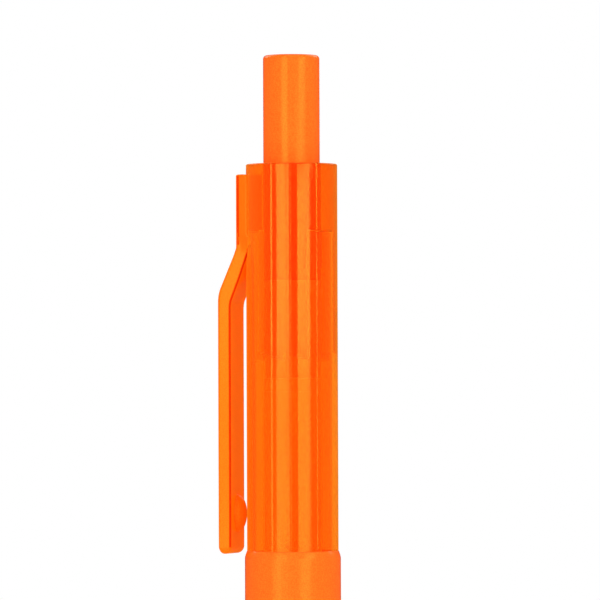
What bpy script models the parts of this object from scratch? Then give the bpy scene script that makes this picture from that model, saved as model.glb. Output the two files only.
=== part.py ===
"""A slim retractable highlighter: a push button, a rotary cam, a sprung ink cartridge and a nose with an
airtight two-leaf shutter. It stands on its nose, +Z along the pen axis, with the clip towards -X.
The origin lies under the middle of the whole pen, clip included, so the pen axis is at x = AXIS_X."""

import bmesh
import bpy
from math import cos, pi, radians, sin
from mathutils import Matrix, Vector

MM = 0.001

# Driving dimensions: barrel
UPPER_R = 5.7 * MM
UPPER_WALL = 0.75 * MM
UPPER_LENGTH = 48.4 * MM
LOWER_R = 6.0 * MM
LOWER_WALL = 0.8 * MM
LOWER_LENGTH = 55.1 * MM
NOSE_LENGTH = 27.0 * MM
NECK_LENGTH = 8.0 * MM
SPIGOT_LENGTH = 6.0 * MM
EDGE_ROUND = 0.45 * MM
COLLAR_LENGTH = 8.4 * MM

# Driving dimensions: push button, cam and rails
BUTTON_R = 3.5 * MM
BUTTON_WALL = 0.9 * MM
BUTTON_OUT = 13.5 * MM
BUTTON_INSIDE = 14.75 * MM
BUTTON_ROOF = 1.2 * MM
STROKE = 11.5 * MM
LATCH_TRAVEL = 10.0 * MM
FIN_COUNT = 3
FIN_REACH = 1.0 * MM
BUTTON_FIN_HEIGHT = 4.5 * MM
CAM_FIN_HEIGHT = 7.0 * MM
CAM_LENGTH = 11.85 * MM
CAM_NOSE_HEIGHT = 4.0 * MM
TOOTH_HEIGHT = 0.9 * MM
SLOT_ANGLE = radians(44)
FIN_SIDE_PLAY = radians(5)
RAIL_PHASE = radians(-48)
RAIL_SLANT = 1.0 * MM

# Driving dimensions: clip
CLIP_WIDTH = 5.8 * MM
CLIP_THICK = 1.62 * MM
CLIP_STAND_OFF = 1.53 * MM
CLIP_LENGTH = 48.5 * MM
CLIP_SLOPE_HEIGHT = 6.9 * MM
CLIP_ROOT_DROP = 1.4 * MM
CLIP_ROOT_HEIGHT = 8.9 * MM
CLIP_ROOT_PROUD = 0.75 * MM
CLIP_BUMP_LENGTH = 5.2 * MM
CLIP_BUMP_WIDTH = 3.2 * MM
CLIP_BUMP_CENTRE = 43.75 * MM
CLIP_SEAM = 0.12 * MM

# Driving dimensions: nose and shutter
MOUTH_R = 2.6 * MM
MOUTH_LIP = 0.8 * MM
NOSE_FACE_R = 4.0 * MM
NOSE_SHOULDER_R = 4.95 * MM
NOSE_CAVITY_R = 4.25 * MM
NOSE_RIM_HEIGHT = 1.35 * MM
NOSE_SWELL_POWER = 1.7
NOSE_STEP_Z = 24.0 * MM
HINGE_OFFSET = 2.9 * MM
LEAF_THICK = 0.4 * MM
LEAF_HALF_WIDTH = 2.5 * MM
LEAF_WEB_LOW = -1.5 * MM
LEAF_WEB_HIGH = 0.6 * MM
KNUCKLE_R = 0.5 * MM
PIN_R = 0.25 * MM
LUG_HALF = 0.45 * MM
LUG_INNER = 1.75 * MM
LUG_OUTER = 2.35 * MM
PORT_HALF_X = 1.75 * MM
PORT_HALF_Y = 2.2 * MM
GASKET_THICK = 0.5 * MM
GASKET_BAND = 0.35 * MM
SEAL_TUBE_R = 4.0 * MM
SEAL_BORE_R = 3.15 * MM
SEAL_FRONT_WALL = 1.25 * MM
SEAL_FLANGE_R = 4.5 * MM
SEAL_FLANGE_THICK = 1.5 * MM
SHUTTER_WIRE = 0.16 * MM
SHUTTER_TURNS = 3

# Driving dimensions: cartridge and spring
TUBE_R = 3.6 * MM
TUBE_WALL = 0.5 * MM
HOLDER_R = 2.9 * MM
HOLDER_PLUG_LENGTH = 4.0 * MM
INK_BORE_R = 1.0 * MM
SNOUT_HALF_X = 1.5 * MM
SNOUT_HALF_Y = 2.05 * MM
NIB_HALF_X = 1.0 * MM
NIB_HALF_Y = 1.7 * MM
NIB_OUT = 5.0 * MM
NIB_BEVEL = 3.4 * MM
NIB_EDGE_HALF = 0.25 * MM
NIB_SLANT = 1.3 * MM
NIB_SETBACK = 2.65 * MM
NIB_TAIL = 6.0 * MM
RING_SECTION = 0.7 * MM
RING_DROP = 2.5 * MM
TAIL_HEAD = 1.6 * MM
TAIL_PLUG_LENGTH = 5.0 * MM
TAIL_POST_R = 1.5 * MM
TAIL_POST_HEIGHT = 3.0 * MM
SPRING_INSTALLED = 21.5 * MM
SPRING_WIRE = 0.5 * MM
SPRING_TURNS = 11

# Clearances
RUN = 0.15 * MM
FIT = 0.06 * MM
SEAT = 0.3 * MM
PIN_PLAY = 0.06 * MM
OVERLAP = 0.35 * MM

# Facets round a full turn
BARREL_FACETS = 48
INNER_FACETS = 36
SMALL_FACETS = 12

# Heights, worked out from the nose up
SHOULDER_Z = NOSE_LENGTH + LOWER_LENGTH
BARREL_TOP_Z = SHOULDER_Z + UPPER_LENGTH
BUTTON_TOP_Z = BARREL_TOP_Z + BUTTON_OUT
COLLAR_Z = BARREL_TOP_Z - COLLAR_LENGTH
CROWN_Z = BARREL_TOP_Z - BUTTON_INSIDE
RAIL_END_Z = CROWN_Z - LATCH_TRAVEL
CAM_BOTTOM_Z = CROWN_Z - CAM_LENGTH
TAIL_TOP_Z = CAM_BOTTOM_Z - SEAT
HINGE_Z = MOUTH_LIP + SEAT + HINGE_OFFSET
NIB_TIP_Z = HINGE_Z + NIB_SETBACK
GASKET_Z = HINGE_Z + LEAF_THICK / 2 + RUN
SEAL_FRONT_Z = GASKET_Z + GASKET_THICK + RUN
SEAL_BORE_Z = SEAL_FRONT_Z + SEAL_FRONT_WALL
SEAL_REAR_Z = NOSE_STEP_Z + SEAT + SEAL_FLANGE_THICK
HOLDER_SHOULDER_Z = SEAL_BORE_Z + STROKE + SEAT
RING_Z = HOLDER_SHOULDER_Z + RING_DROP
TUBE_FRONT_Z = SEAL_REAR_Z + SPRING_INSTALLED
TUBE_REAR_Z = TAIL_TOP_Z - TAIL_HEAD - SEAT
PIVOT_Z = BARREL_TOP_Z - CLIP_ROOT_DROP - CLIP_ROOT_HEIGHT

# Radii, worked out from the walls
UPPER_BORE_R = UPPER_R - UPPER_WALL
LOWER_BORE_R = LOWER_R - LOWER_WALL
NECK_R = LOWER_BORE_R - FIT
COLLAR_BORE_R = BUTTON_R + RUN
FIN_R = BUTTON_R + FIN_REACH
NECK_BORE_R = FIN_R + RUN
RAIL_INNER_R = BUTTON_R + RUN + FIT
CAM_R = BUTTON_R - RUN
CAM_NECK_R = BUTTON_R - BUTTON_WALL - RUN
TUBE_BORE_R = TUBE_R - TUBE_WALL
CLIP_INNER_R = UPPER_R + CLIP_STAND_OFF
CLIP_OUTER_R = CLIP_INNER_R + CLIP_THICK
ROOT_OUTER_R = UPPER_R + CLIP_ROOT_PROUD
AXIS_X = (CLIP_OUTER_R - LOWER_R) / 2

# Colours, linear red, green and blue
NEON_ORANGE = (1.0, 0.19, 0.018)
CLEAR_ORANGE = (1.0, 0.16, 0.01)
DEEP_ORANGE = (0.9, 0.12, 0.01)
NATURAL_WHITE = (0.8, 0.78, 0.72)
INK_ORANGE = (1.0, 0.3, 0.04)
BLACK_RUBBER = (0.02, 0.02, 0.02)
STEEL = (0.6, 0.6, 0.62)


def empty_scene():
    for thing in list(bpy.data.objects):
        bpy.data.objects.remove(thing, do_unlink=True)


def finish(name, colour, roughness=0.4, metallic=0.0):
    material = bpy.data.materials.new(name)
    material.use_nodes = True
    shader = material.node_tree.nodes["Principled BSDF"]
    shader.inputs["Base Color"].default_value = (*colour, 1.0)
    shader.inputs["Roughness"].default_value = roughness
    shader.inputs["Metallic"].default_value = metallic
    material.diffuse_color = (*colour, 1.0)
    return material


def add_object(name, bm, material, parent, place=(0, 0, 0), sharp=radians(35)):
    """Turns a bmesh into a named object, smooth shaded except at edges sharper than the given angle."""
    bmesh.ops.recalc_face_normals(bm, faces=bm.faces)
    mesh = bpy.data.meshes.new(name)
    bm.to_mesh(mesh)
    bm.free()
    mesh.shade_smooth()
    mesh.set_sharp_from_angle(angle=sharp)
    thing = bpy.data.objects.new(name, mesh)
    bpy.context.collection.objects.link(thing)
    thing.location = place
    thing.parent = parent
    if material:
        mesh.materials.append(material)
    return thing


def add_axis(name, place, parent=None):
    axis = bpy.data.objects.new(name, None)
    bpy.context.collection.objects.link(axis)
    axis.empty_display_size = 5 * MM
    axis.location = place
    axis.parent = parent
    return axis


def combine(target, tool, operation):
    """Keeps the tool as a hidden wire shape and lets the target add or subtract it."""
    tool.hide_render = True
    tool.display_type = "WIRE"
    change = target.modifiers.new(f"{operation.lower()} {tool.name}", "BOOLEAN")
    change.operation = operation
    change.solver = "EXACT"
    change.object = tool


def arc(centre, radius, start, end, steps=4, stretch=1):
    """Points of an arc in the radius and height plane, between two angles in degrees.
    The stretch makes it taller than it is wide."""
    turns = [radians(start + (end - start) * i / steps) for i in range(steps + 1)]
    return [(centre[0] + radius * cos(t), centre[1] + radius * stretch * sin(t)) for t in turns]


def turned(outline, facets, closed=True):
    """A body of revolution about Z. A solid one has an open outline that starts and ends on the axis."""
    bm = bmesh.new()
    points = [bm.verts.new((r, 0, z)) for r, z in outline]
    pairs = list(zip(points, points[1:]))
    if closed:
        pairs.append((points[-1], points[0]))
    edges = [bm.edges.new(pair) for pair in pairs]
    bmesh.ops.spin(
        bm,
        geom=points + edges,
        cent=(0, 0, 0),
        axis=(0, 0, 1),
        angle=2 * pi,
        steps=facets,
        use_merge=True,
    )
    bmesh.ops.remove_doubles(bm, verts=bm.verts, dist=1e-8)
    bmesh.ops.dissolve_degenerate(bm, edges=bm.edges, dist=1e-8)
    return bm


def prism(outline, direction):
    """Extrudes a flat outline of 3-D points along a vector."""
    bm = bmesh.new()
    face = bm.faces.new([bm.verts.new(point) for point in outline])
    grown = bmesh.ops.extrude_face_region(bm, geom=[face])
    moved = [v for v in grown["geom"] if isinstance(v, bmesh.types.BMVert)]
    bmesh.ops.translate(bm, verts=moved, vec=Vector(direction))
    return bm


def block(low, high):
    """A box between two corners."""
    outline = [
        (low[0], low[1], low[2]),
        (high[0], low[1], low[2]),
        (high[0], high[1], low[2]),
        (low[0], high[1], low[2]),
    ]
    return prism(outline, (0, 0, high[2] - low[2]))


def oval(half_x, half_y, low_z, high_z, facets=INNER_FACETS):
    """An upright column with an elliptical section."""
    turns = [2 * pi * i / facets for i in range(facets)]
    outline = [(half_x * cos(t), half_y * sin(t), low_z) for t in turns]
    return prism(outline, (0, 0, high_z - low_z))


def add_sector(bm, inner_r, outer_r, start, sweep, bottom, top, steps=4):
    """Adds a curved block between two radii. Its bottom and top heights depend on the share across it, 0 to 1."""
    rows = []
    for i in range(steps + 1):
        share = i / steps
        turn = start + sweep * share
        low, high = bottom(share), top(share)
        corners = [(inner_r, low), (outer_r, low), (outer_r, high), (inner_r, high)]
        rows.append([bm.verts.new((r * cos(turn), r * sin(turn), z)) for r, z in corners])
    for near, far in zip(rows, rows[1:]):
        for i in range(4):
            j = (i + 1) % 4
            bm.faces.new((near[i], near[j], far[j], far[i]))
    bm.faces.new(rows[0])
    bm.faces.new(reversed(rows[-1]))


def helix(radius, wire, turns, low_z, high_z, per_turn=14, sides=6):
    """A round wire wound on a helix, with its axis on Z."""
    bm = bmesh.new()
    count = int(turns * per_turn)
    climb = (high_z - low_z) / (2 * pi * turns)
    rings = []
    for i in range(count + 1):
        turn = 2 * pi * i / per_turn
        out = Vector((cos(turn), sin(turn), 0))
        along = Vector((-radius * sin(turn), radius * cos(turn), climb)).normalized()
        up = along.cross(out)
        centre = out * radius + Vector((0, 0, low_z + climb * turn))
        angles = [2 * pi * k / sides for k in range(sides)]
        rings.append([bm.verts.new(centre + wire / 2 * (out * cos(a) + up * sin(a))) for a in angles])
    for near, far in zip(rings, rings[1:]):
        for k in range(sides):
            j = (k + 1) % sides
            bm.faces.new((near[k], near[j], far[j], far[k]))
    bm.faces.new(rings[0])
    bm.faces.new(reversed(rings[-1]))
    return bm


def tooth(turn):
    """The crown's zigzag, 0 to 1, with two teeth for each guide fin."""
    share = (turn - RAIL_PHASE) / (2 * pi) * 2 * FIN_COUNT % 1
    return 1 - abs(2 * share - 1)


def raise_teeth(bm, height):
    """Lifts the rim that lies at one height into the crown's zigzag."""
    for v in bm.verts:
        if abs(v.co.z - height) < 1e-7:
            v.co.z += TOOTH_HEIGHT * tooth(Vector((v.co.x, v.co.y)).angle_signed(Vector((1, 0)), 0))


def add_fins(bm, inner_r, outer_r, bottom, top, rise):
    """Three guide fins in the slots between the rails, with tops that slant by the given rise."""
    width = SLOT_ANGLE - 2 * FIN_SIDE_PLAY
    for i in range(FIN_COUNT):
        start = RAIL_PHASE + 2 * pi * i / FIN_COUNT + FIN_SIDE_PLAY
        add_sector(bm, inner_r, outer_r, start, width, lambda s: bottom, lambda s: top - rise * s)


def make_upper_barrel(axis, plastic):
    outline = [
        *arc((UPPER_R - EDGE_ROUND, BARREL_TOP_Z - EDGE_ROUND), EDGE_ROUND, 90, 0),
        (UPPER_R, SHOULDER_Z),
        (NECK_R, SHOULDER_Z),
        (NECK_R, SHOULDER_Z - NECK_LENGTH),
        (NECK_BORE_R, SHOULDER_Z - NECK_LENGTH),
        (NECK_BORE_R, SHOULDER_Z + 2 * UPPER_WALL),
        (UPPER_BORE_R, SHOULDER_Z + 2 * UPPER_WALL + (UPPER_BORE_R - NECK_BORE_R)),
        (UPPER_BORE_R, COLLAR_Z),
        (COLLAR_BORE_R, COLLAR_Z),
        (COLLAR_BORE_R, BARREL_TOP_Z),
    ]
    barrel = add_object("upper_barrel", turned(outline, BARREL_FACETS), plastic, axis)
    combine(barrel, make_rails(axis), "UNION")
    combine(barrel, make_clip_root(axis), "UNION")
    return barrel


def make_rails(axis):
    """Three rails run down from the collar. The cam's fins catch under their slanted ends."""
    bm = bmesh.new()
    sweep = 2 * pi / FIN_COUNT - SLOT_ANGLE
    for i in range(FIN_COUNT):
        start = RAIL_PHASE + 2 * pi * i / FIN_COUNT + SLOT_ANGLE
        low, high = RAIL_END_Z, COLLAR_Z + OVERLAP
        add_sector(
            bm,
            RAIL_INNER_R,
            UPPER_BORE_R + OVERLAP,
            start,
            sweep,
            lambda s: low + RAIL_SLANT * (1 - 2 * s % 1),
            lambda s: high,
            steps=8,
        )
    return add_object("rails", bm, None, axis)


def make_clip_root(axis):
    """The boss that joins the clip to the barrel, with its lower face cut along the clip's slope."""
    half = CLIP_WIDTH / 2
    inner = (UPPER_R**2 - half**2) ** 0.5 - OVERLAP
    top = BARREL_TOP_Z - CLIP_ROOT_DROP
    low = PIVOT_Z + CLIP_SEAM
    outline = [
        (-inner, -half, low),
        (-inner, -half, top),
        (-ROOT_OUTER_R, -half, top),
        (-ROOT_OUTER_R, -half, low),
    ]
    return add_object("clip_root", prism(outline, (0, CLIP_WIDTH, 0)), None, axis)


def make_clip(axis, plastic):
    """The arm leaves the root, slopes out, and runs straight down to a rounded bump that grips cloth.
    Its inner face keeps one thickness from the outer face, both on the slope and below it."""
    hinge = add_axis("clip_hinge", (-ROOT_OUTER_R, 0, PIVOT_Z), axis)
    half = CLIP_WIDTH / 2
    out, inside = ROOT_OUTER_R - CLIP_OUTER_R, ROOT_OUTER_R - CLIP_INNER_R
    low = BARREL_TOP_Z - CLIP_LENGTH - PIVOT_Z
    bend = -CLIP_SLOPE_HEIGHT
    top = -CLIP_SEAM
    root_in = ROOT_OUTER_R - UPPER_R - SEAT
    fall = (bend - top) / out
    shift = CLIP_THICK * (1 + fall**2) ** 0.5
    outline = [
        (0, -half, top),
        (out, -half, bend),
        (out, -half, low + 2 * EDGE_ROUND),
        (out + EDGE_ROUND, -half, low),
        (inside - EDGE_ROUND, -half, low),
        (inside, -half, low + 3 * EDGE_ROUND),
        (inside, -half, top + fall * inside - shift),
        (root_in, -half, top + fall * root_in - shift),
        (root_in, -half, top),
    ]
    clip = add_object("pocket_clip", prism(outline, (0, CLIP_WIDTH, 0)), plastic, hinge)
    bump = make_bump(hinge, inside)
    combine(clip, bump, "UNION")
    return clip


def make_bump(hinge, inside):
    bm = bmesh.new()
    bmesh.ops.create_uvsphere(bm, u_segments=16, v_segments=10, radius=1)
    height = CLIP_STAND_OFF - SEAT
    bmesh.ops.scale(bm, verts=bm.verts, vec=(height, CLIP_BUMP_WIDTH / 2, CLIP_BUMP_LENGTH / 2))
    place = (inside, 0, BARREL_TOP_Z - CLIP_BUMP_CENTRE - PIVOT_Z)
    return add_object("clip_bump", bm, None, hinge, place)


def make_button(axis, plastic):
    bore = BUTTON_R - BUTTON_WALL
    outline = [
        (0, BUTTON_TOP_Z),
        *arc((BUTTON_R - EDGE_ROUND, BUTTON_TOP_Z - EDGE_ROUND), EDGE_ROUND, 90, 0),
        (BUTTON_R, CROWN_Z),
        (bore, CROWN_Z),
        (bore, BUTTON_TOP_Z - BUTTON_ROOF),
        (0, BUTTON_TOP_Z - BUTTON_ROOF),
    ]
    body = turned(outline, INNER_FACETS, closed=False)
    raise_teeth(body, CROWN_Z)
    button = add_object("push_button", body, plastic, axis)
    fins = bmesh.new()
    top = COLLAR_Z - SEAT
    add_fins(fins, BUTTON_R - OVERLAP, FIN_R, top - BUTTON_FIN_HEIGHT, top, 0)
    combine(button, add_object("button_fins", fins, None, axis), "UNION")
    return button


def make_cam(axis, plastic):
    """The cam turns under the button's crown. Its neck runs in the button, and the tail post runs in it."""
    bore = TAIL_POST_R + RUN
    top = CROWN_Z - SEAT
    neck_top = top + TOOTH_HEIGHT + CAM_NOSE_HEIGHT
    roof = CAM_BOTTOM_Z + TAIL_POST_HEIGHT + SEAT
    outline = [
        (0, neck_top),
        (CAM_NECK_R - EDGE_ROUND, neck_top),
        (CAM_NECK_R, neck_top - EDGE_ROUND),
        (CAM_NECK_R, top),
        (CAM_R, top),
        (CAM_R, CAM_BOTTOM_Z),
        (bore, CAM_BOTTOM_Z),
        (bore, roof),
        (0, roof + bore / 2),
    ]
    body = turned(outline, INNER_FACETS, closed=False)
    raise_teeth(body, top)
    cam = add_object("rotary_cam", body, plastic, axis)
    fins = bmesh.new()
    add_fins(fins, CAM_R - OVERLAP, FIN_R, CROWN_Z - CAM_FIN_HEIGHT, CROWN_Z, RAIL_SLANT)
    combine(cam, add_object("cam_fins", fins, None, axis), "UNION")
    return cam


def make_lower_barrel(axis, plastic):
    top = SHOULDER_Z - SEAT
    outline = [
        (LOWER_BORE_R, top),
        (LOWER_BORE_R, NOSE_LENGTH),
        (LOWER_R, NOSE_LENGTH),
        *arc((LOWER_R - EDGE_ROUND, top - 2 * EDGE_ROUND), EDGE_ROUND, 0, 90, steps=3, stretch=2),
    ]
    return add_object("lower_barrel", turned(outline, BARREL_FACETS), plastic, axis)


def make_nose(axis, plastic):
    """The cone swells from a flat rim to the barrel. A spigot behind it plugs into the lower barrel."""
    top = NOSE_LENGTH - SEAT
    swell = LOWER_R - NOSE_SHOULDER_R
    steps = 7
    shares = [i / steps for i in range(steps + 1)]
    radii = [LOWER_R - swell * (1 - s) ** NOSE_SWELL_POWER for s in shares]
    heights = [NOSE_RIM_HEIGHT + (top - NOSE_RIM_HEIGHT) * s for s in shares]
    rim = NOSE_SHOULDER_R - NOSE_FACE_R
    spigot_r = LOWER_BORE_R - FIT
    counterbore_r = SEAL_FLANGE_R + RUN
    outline = [
        (MOUTH_R, EDGE_ROUND / 2),
        (MOUTH_R + EDGE_ROUND / 2, 0),
        *arc((NOSE_FACE_R, NOSE_RIM_HEIGHT), rim, -90, 0, steps=3, stretch=NOSE_RIM_HEIGHT / rim)[:-1],
        *zip(radii, heights),
        (spigot_r, top),
        (spigot_r, top + SPIGOT_LENGTH),
        (counterbore_r, top + SPIGOT_LENGTH),
        (counterbore_r, NOSE_STEP_Z),
        (NOSE_CAVITY_R, NOSE_STEP_Z),
        (NOSE_CAVITY_R, MOUTH_LIP),
        (MOUTH_R, MOUTH_LIP),
    ]
    return add_object("nose_cone", turned(outline, BARREL_FACETS), plastic, axis)


def make_seal_tube(axis, plastic):
    """The airtight chamber round the nib. Lugs on its front carry the hinge pins."""
    outline = [
        (0, SEAL_FRONT_Z),
        (SEAL_TUBE_R, SEAL_FRONT_Z),
        (SEAL_TUBE_R, NOSE_STEP_Z + SEAT),
        (SEAL_FLANGE_R, NOSE_STEP_Z + SEAT),
        (SEAL_FLANGE_R, SEAL_REAR_Z),
        (SEAL_BORE_R, SEAL_REAR_Z),
        (SEAL_BORE_R, SEAL_BORE_Z),
        (0, SEAL_BORE_Z),
    ]
    tube = add_object("seal_tube", turned(outline, INNER_FACETS, closed=False), plastic, axis)
    port = oval(PORT_HALF_X, PORT_HALF_Y, SEAL_FRONT_Z - SEAT, SEAL_BORE_Z + SEAT)
    combine(tube, add_object("port", port, None, axis), "DIFFERENCE")
    for side in (-1, 1):
        combine(tube, make_lugs(axis, side), "UNION")
        hole_r, end = PIN_R + PIN_PLAY, LUG_OUTER + SEAT
        hole = turned([(0, end), (hole_r, end), (hole_r, -end), (0, -end)], SMALL_FACETS, closed=False)
        combine(tube, lay_on_hinge("pin_hole", hole, None, axis, side), "DIFFERENCE")
    return tube


def make_lugs(axis, side):
    bm = bmesh.new()
    for y_side in (-1, 1):
        lug = block(
            (HINGE_OFFSET - LUG_HALF, y_side * LUG_INNER, HINGE_Z - LUG_HALF),
            (HINGE_OFFSET + LUG_HALF, y_side * LUG_OUTER, SEAL_FRONT_Z + OVERLAP),
        )
        bmesh.ops.recalc_face_normals(lug, faces=lug.faces)
        piece = bpy.data.meshes.new("lug")
        lug.to_mesh(piece)
        lug.free()
        bm.from_mesh(piece)
    bmesh.ops.scale(bm, verts=bm.verts, vec=(side, 1, 1))
    return add_object("lugs", bm, None, axis)


def lay_along_y(bm):
    turn = Matrix.Rotation(radians(-90), 3, "X")
    bmesh.ops.rotate(bm, verts=bm.verts, cent=(0, 0, 0), matrix=turn)


def lay_on_hinge(name, bm, material, axis, side):
    """Lays a body made along Z on a shutter hinge, which runs along Y."""
    lay_along_y(bm)
    return add_object(name, bm, material, axis, (side * HINGE_OFFSET, 0, HINGE_Z))


def make_leaf(name, axis, side, plastic):
    """A flat leaf that covers half the port. Its web joins it to a knuckle on the hinge pin."""
    hinge = add_axis(f"{name}_hinge", (side * HINGE_OFFSET, 0, HINGE_Z), axis)
    free_end = -side * (HINGE_OFFSET - FIT)
    near_end = -side * (LUG_HALF * 2**0.5 + RUN)
    low, high = -LEAF_THICK / 2, LEAF_THICK / 2
    plate = block((free_end, -LEAF_HALF_WIDTH, low), (near_end, LEAF_HALF_WIDTH, high))
    leaf = add_object(name, plate, plastic, hinge)
    web_end = near_end - side * OVERLAP
    web_root = -side * (KNUCKLE_R + PIN_R + PIN_PLAY) / 2
    web = block((web_end, LEAF_WEB_LOW, low), (web_root, LEAF_WEB_HIGH, high))
    combine(leaf, add_object("web", web, None, hinge), "UNION")
    combine(leaf, make_knuckle(hinge), "UNION")
    return leaf


def make_knuckle(hinge):
    hole = PIN_R + PIN_PLAY
    outline = [
        (hole, LEAF_WEB_LOW),
        (KNUCKLE_R, LEAF_WEB_LOW),
        (KNUCKLE_R, LEAF_WEB_HIGH),
        (hole, LEAF_WEB_HIGH),
    ]
    knuckle = turned(outline, SMALL_FACETS)
    lay_along_y(knuckle)
    return add_object("knuckle", knuckle, None, hinge)


def make_pin(name, axis, side, metal):
    outline = [(0, LUG_OUTER), (PIN_R, LUG_OUTER), (PIN_R, -LUG_OUTER), (0, -LUG_OUTER)]
    return lay_on_hinge(name, turned(outline, SMALL_FACETS, closed=False), metal, axis, side)


def make_shutter_spring(name, axis, side, metal):
    low = LEAF_WEB_HIGH + RUN + SHUTTER_WIRE / 2
    high = LUG_INNER - RUN - SHUTTER_WIRE / 2
    coil = helix(PIN_R + PIN_PLAY + SHUTTER_WIRE / 2, SHUTTER_WIRE, SHUTTER_TURNS, low, high, per_turn=12)
    return lay_on_hinge(name, coil, metal, axis, side)


def make_gasket(axis, rubber):
    outer = oval(PORT_HALF_X + GASKET_BAND, PORT_HALF_Y + GASKET_BAND, GASKET_Z, GASKET_Z + GASKET_THICK)
    gasket = add_object("shutter_gasket", outer, rubber, axis)
    opening = oval(PORT_HALF_X, PORT_HALF_Y, GASKET_Z - SEAT, GASKET_Z + GASKET_THICK + SEAT)
    combine(gasket, add_object("gasket_opening", opening, None, axis), "DIFFERENCE")
    return gasket


def make_holder(axis, plastic):
    """The snout grips the nib. The stem behind it slides in the seal tube and plugs into the cartridge."""
    groove_r = SEAL_BORE_R - FIT - RING_SECTION - FIT
    groove = RING_SECTION / 2 + FIT
    outline = [
        (0, HOLDER_SHOULDER_Z),
        (HOLDER_R - EDGE_ROUND, HOLDER_SHOULDER_Z),
        (HOLDER_R, HOLDER_SHOULDER_Z + EDGE_ROUND),
        (HOLDER_R, RING_Z - groove),
        (groove_r, RING_Z - groove),
        (groove_r, RING_Z + groove),
        (HOLDER_R, RING_Z + groove),
        (HOLDER_R, TUBE_FRONT_Z + HOLDER_PLUG_LENGTH),
        (INK_BORE_R, TUBE_FRONT_Z + HOLDER_PLUG_LENGTH),
        (INK_BORE_R, HOLDER_SHOULDER_Z + NIB_TAIL),
        (0, HOLDER_SHOULDER_Z + NIB_TAIL),
    ]
    holder = add_object("nib_holder", turned(outline, INNER_FACETS, closed=False), plastic, axis)
    snout = oval(SNOUT_HALF_X, SNOUT_HALF_Y, NIB_TIP_Z + NIB_OUT, HOLDER_SHOULDER_Z + OVERLAP)
    combine(holder, add_object("snout", snout, None, axis), "UNION")
    grow = 1 + FIT / NIB_HALF_X
    socket = oval(NIB_HALF_X * grow, NIB_HALF_Y * grow, NIB_TIP_Z, HOLDER_SHOULDER_Z + NIB_TAIL + SEAT)
    combine(holder, add_object("nib_socket", socket, None, axis), "DIFFERENCE")
    return holder


def make_nib(axis, felt):
    """An oval felt rod. Two bevels meet in a chisel edge, which slants across the nib's wide side."""
    rod = oval(NIB_HALF_X, NIB_HALF_Y, NIB_TIP_Z, HOLDER_SHOULDER_Z + NIB_TAIL)
    nib = add_object("felt_nib", rod, felt, axis)
    reach = 2 * NIB_HALF_Y
    for side in (-1, 1):
        edge, full = side * NIB_EDGE_HALF, side * (NIB_HALF_X + FIT)
        outline = [
            (edge, -reach, NIB_TIP_Z - SEAT),
            (edge, -reach, NIB_TIP_Z),
            (full, -reach, NIB_TIP_Z + NIB_BEVEL),
            (full + side * SEAT, -reach, NIB_TIP_Z + NIB_BEVEL),
            (full + side * SEAT, -reach, NIB_TIP_Z - SEAT),
        ]
        bevel = add_object("nib_bevel", prism(outline, (0, 2 * reach, 0)), None, axis)
        combine(nib, bevel, "DIFFERENCE")
    rise = NIB_SLANT / NIB_HALF_Y / 2 * reach
    outline = [
        (-reach, -reach, NIB_TIP_Z - rise + NIB_SLANT / 2),
        (-reach, reach, NIB_TIP_Z + rise + NIB_SLANT / 2),
        (-reach, reach, NIB_TIP_Z - rise - SEAT),
        (-reach, -reach, NIB_TIP_Z - rise - SEAT),
    ]
    slant = add_object("nib_slant", prism(outline, (2 * reach, 0, 0)), None, axis)
    combine(nib, slant, "DIFFERENCE")
    return nib


def make_ring(axis, rubber):
    radius = SEAL_BORE_R - FIT - RING_SECTION / 2
    outline = arc((radius, RING_Z), RING_SECTION / 2, 0, 360, steps=10)[:-1]
    return add_object("chamber_o_ring", turned(outline, INNER_FACETS), rubber, axis)


def make_tube(axis, plastic):
    outline = [
        (TUBE_BORE_R, TUBE_FRONT_Z),
        (TUBE_R, TUBE_FRONT_Z),
        (TUBE_R, TUBE_REAR_Z),
        (TUBE_BORE_R, TUBE_REAR_Z),
    ]
    return add_object("cartridge_tube", turned(outline, INNER_FACETS), plastic, axis)


def make_reservoir(axis, felt):
    low = TUBE_FRONT_Z + HOLDER_PLUG_LENGTH + SEAT
    high = TUBE_REAR_Z - TAIL_PLUG_LENGTH - SEAT
    radius = TUBE_BORE_R - FIT
    outline = [(0, high), (radius, high), (radius, low), (0, low)]
    return add_object("ink_reservoir", turned(outline, INNER_FACETS, closed=False), felt, axis)


def make_tail_plug(axis, plastic):
    outline = [
        (0, TAIL_TOP_Z + TAIL_POST_HEIGHT),
        (TAIL_POST_R, TAIL_TOP_Z + TAIL_POST_HEIGHT),
        (TAIL_POST_R, TAIL_TOP_Z),
        (TUBE_R, TAIL_TOP_Z),
        (TUBE_R, TAIL_TOP_Z - TAIL_HEAD),
        (TUBE_BORE_R - FIT, TAIL_TOP_Z - TAIL_HEAD),
        (TUBE_BORE_R - FIT, TUBE_REAR_Z - TAIL_PLUG_LENGTH),
        (0, TUBE_REAR_Z - TAIL_PLUG_LENGTH),
    ]
    return add_object("cartridge_tail_plug", turned(outline, INNER_FACETS, closed=False), plastic, axis)


def make_return_spring(axis, metal):
    low = SEAL_REAR_Z + SPRING_WIRE / 2 + FIT
    high = TUBE_FRONT_Z - SPRING_WIRE / 2 - FIT
    radius = HOLDER_R + SEAT + SPRING_WIRE / 2
    coil = helix(radius, SPRING_WIRE, SPRING_TURNS, low, high)
    return add_object("return_spring", coil, metal, axis)


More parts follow.
